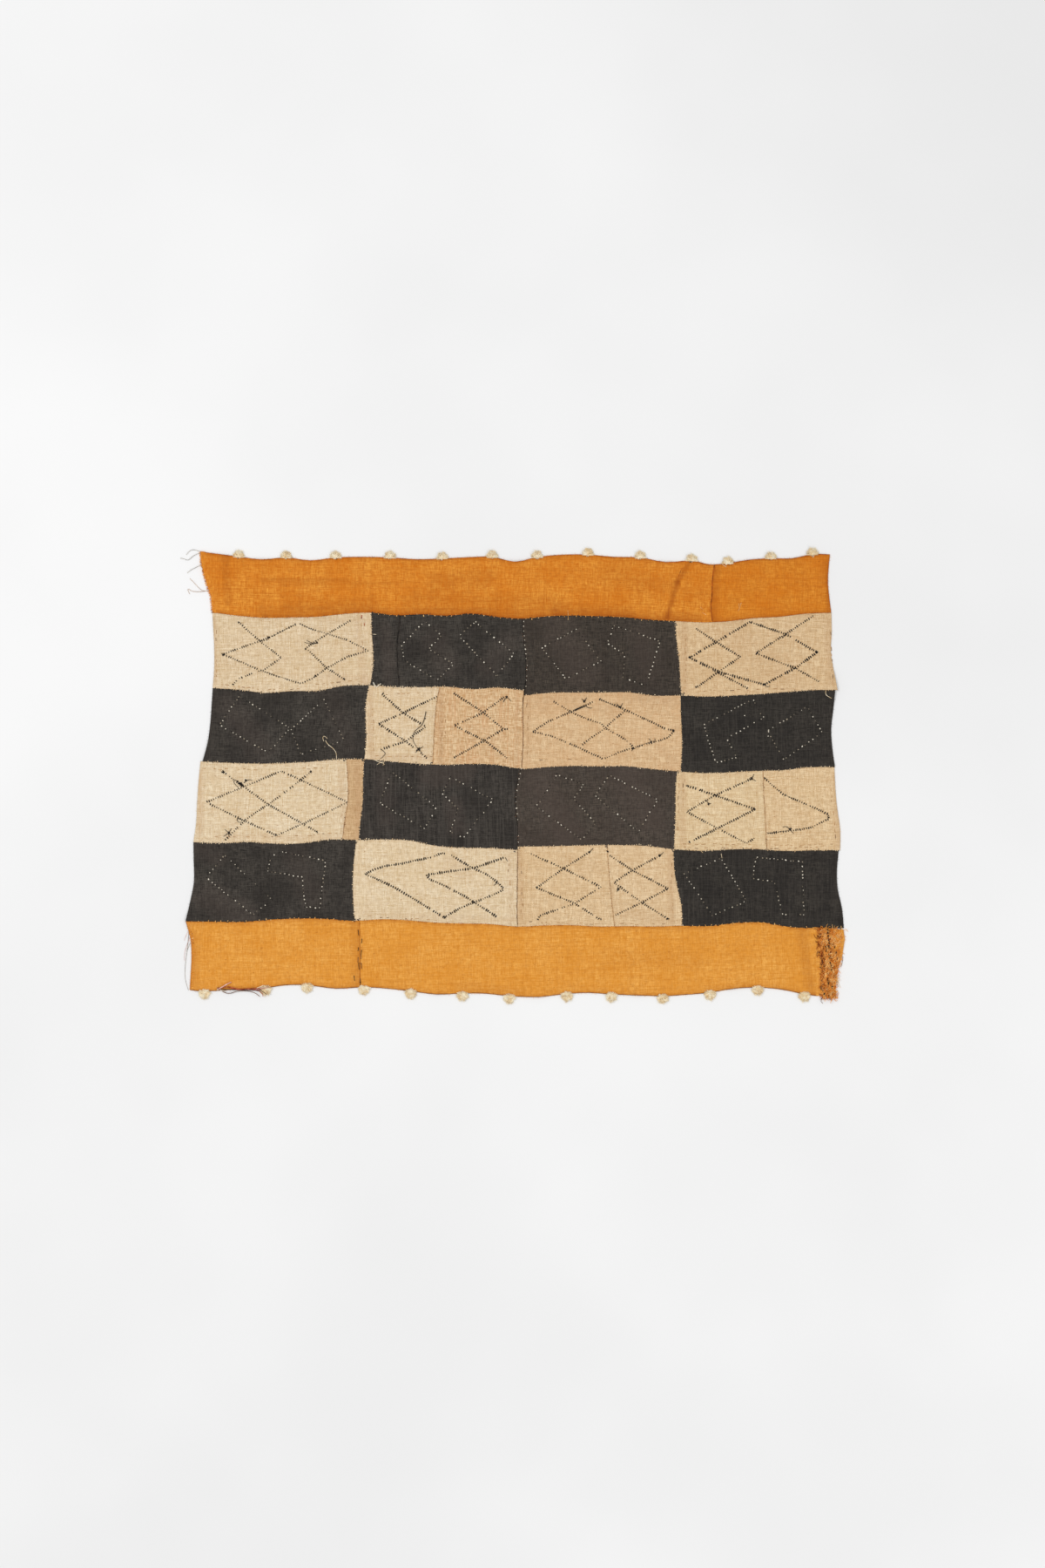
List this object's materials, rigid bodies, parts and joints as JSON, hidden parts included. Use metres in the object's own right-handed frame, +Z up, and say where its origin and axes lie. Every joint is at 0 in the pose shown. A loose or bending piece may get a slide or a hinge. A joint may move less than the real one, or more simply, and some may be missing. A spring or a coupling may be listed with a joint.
{
  "type": "kuba raffia cloth",
  "caption": "Flat patchwork cloth of dark and cream raffia panels with orange borders, edge pompoms and frayed ends, laid out on a surface.",
  "frame": {"origin": "middle of the cloth's footprint, on the surface it lies on", "axes": "+X along the cloth's long side to the right, +Y towards its top border, +Z up from the surface"},
  "size_m": [0.9501, 0.6553, 0.0058],
  "materials": {
    "dark_raffia": "coarse charcoal raffia plain weave, matt",
    "natural_raffia": "undyed cream raffia plain weave, matt, with dark stitched lines",
    "tan_raffia": "undyed tan raffia plain weave, matt, with dark stitched lines",
    "orange_raffia": "ochre orange dyed raffia plain weave, matt, streaked",
    "cream_tuft": "fluffy cut raffia fibre",
    "frayed_raffia": "loose twisted raffia ends, orange and brown"
  },
  "bodies": {
    "root": {"strip_1b": "dark_raffia", "panel_1b": "dark_raffia", "panel_1c": "dark_raffia", "panel_2a": "dark_raffia", "panel_2d": "dark_raffia", "panel_3b": "dark_raffia", "panel_3c": "dark_raffia", "panel_4a": "dark_raffia", "panel_4d": "dark_raffia", "panel_1a": "natural_raffia", "panel_2b_light": "natural_raffia", "panel_3a": "natural_raffia", "panel_3d_left": "natural_raffia", "panel_3d_right": "natural_raffia", "panel_4b": "natural_raffia", "panel_4c_left": "natural_raffia", "panel_4c_right": "natural_raffia", "panel_1d": "tan_raffia", "panel_2b_tan": "tan_raffia", "panel_2c": "tan_raffia", "strip_3a": "tan_raffia", "border_top_left": "orange_raffia", "border_top_right": "orange_raffia", "border_bottom_left": "orange_raffia", "border_bottom_right": "orange_raffia", "pompom_top_01": "cream_tuft", "pompom_top_02": "cream_tuft", "pompom_top_03": "cream_tuft", "pompom_top_04": "cream_tuft", "pompom_top_05": "cream_tuft", "pompom_top_06": "cream_tuft", "pompom_top_07": "cream_tuft", "pompom_top_08": "cream_tuft", "pompom_top_09": "cream_tuft", "pompom_top_10": "cream_tuft", "pompom_top_11": "cream_tuft", "pompom_top_12": "cream_tuft", "pompom_top_13": "cream_tuft", "pompom_bottom_01": "cream_tuft", "pompom_bottom_02": "cream_tuft", "pompom_bottom_03": "cream_tuft", "pompom_bottom_04": "cream_tuft", "pompom_bottom_05": "cream_tuft", "pompom_bottom_06": "cream_tuft", "pompom_bottom_07": "cream_tuft", "pompom_bottom_08": "cream_tuft", "pompom_bottom_09": "cream_tuft", "pompom_bottom_10": "cream_tuft", "pompom_bottom_11": "cream_tuft", "pompom_bottom_12": "cream_tuft", "pompom_bottom_13": "cream_tuft", "fringe_top_left": "frayed_raffia", "fringe_bottom_right": "frayed_raffia", "thread_tangle": "frayed_raffia"}
  },
  "joints": []
}
